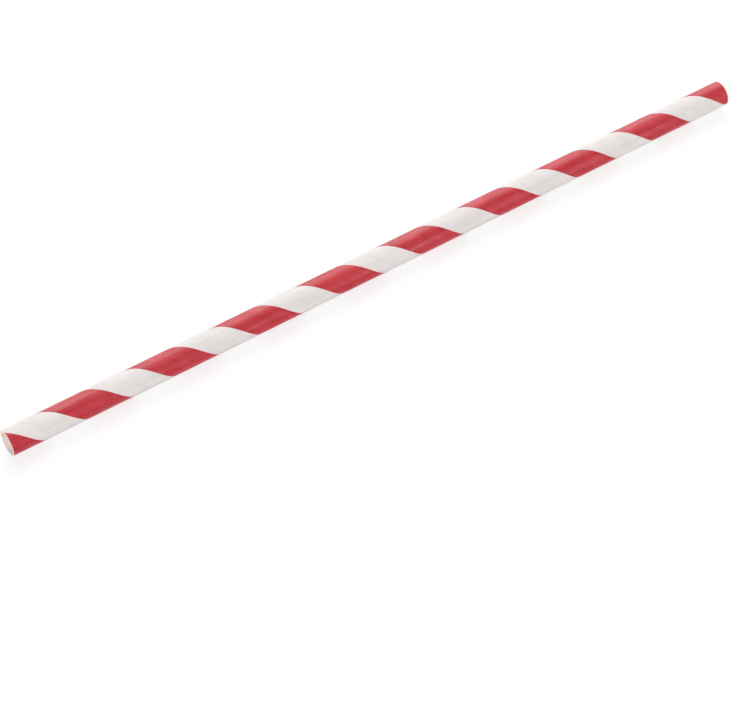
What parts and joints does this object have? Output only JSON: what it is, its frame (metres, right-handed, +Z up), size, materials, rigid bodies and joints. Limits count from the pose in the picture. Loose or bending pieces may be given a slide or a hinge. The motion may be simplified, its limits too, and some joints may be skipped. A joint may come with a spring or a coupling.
{
  "type": "paper drinking straw",
  "caption": "Straight tube of wound paper to drink through, open at both square-cut ends, with a fine spiral seam and a red spiral stripe on white.",
  "frame": {"origin": "on the ground under the middle of the straw, which lies on its side; its axis is 3.1 mm up", "axes": "+X along the straw from the near end to the far end, +Z up, +Y across it"},
  "size_m": [0.2, 0.0062, 0.0062],
  "materials": {
    "printed_paper": "uncoated white paper with a glossy red printed stripe, satin"
  },
  "bodies": {
    "root": {"straw_tube": "printed_paper"}
  },
  "joints": []
}
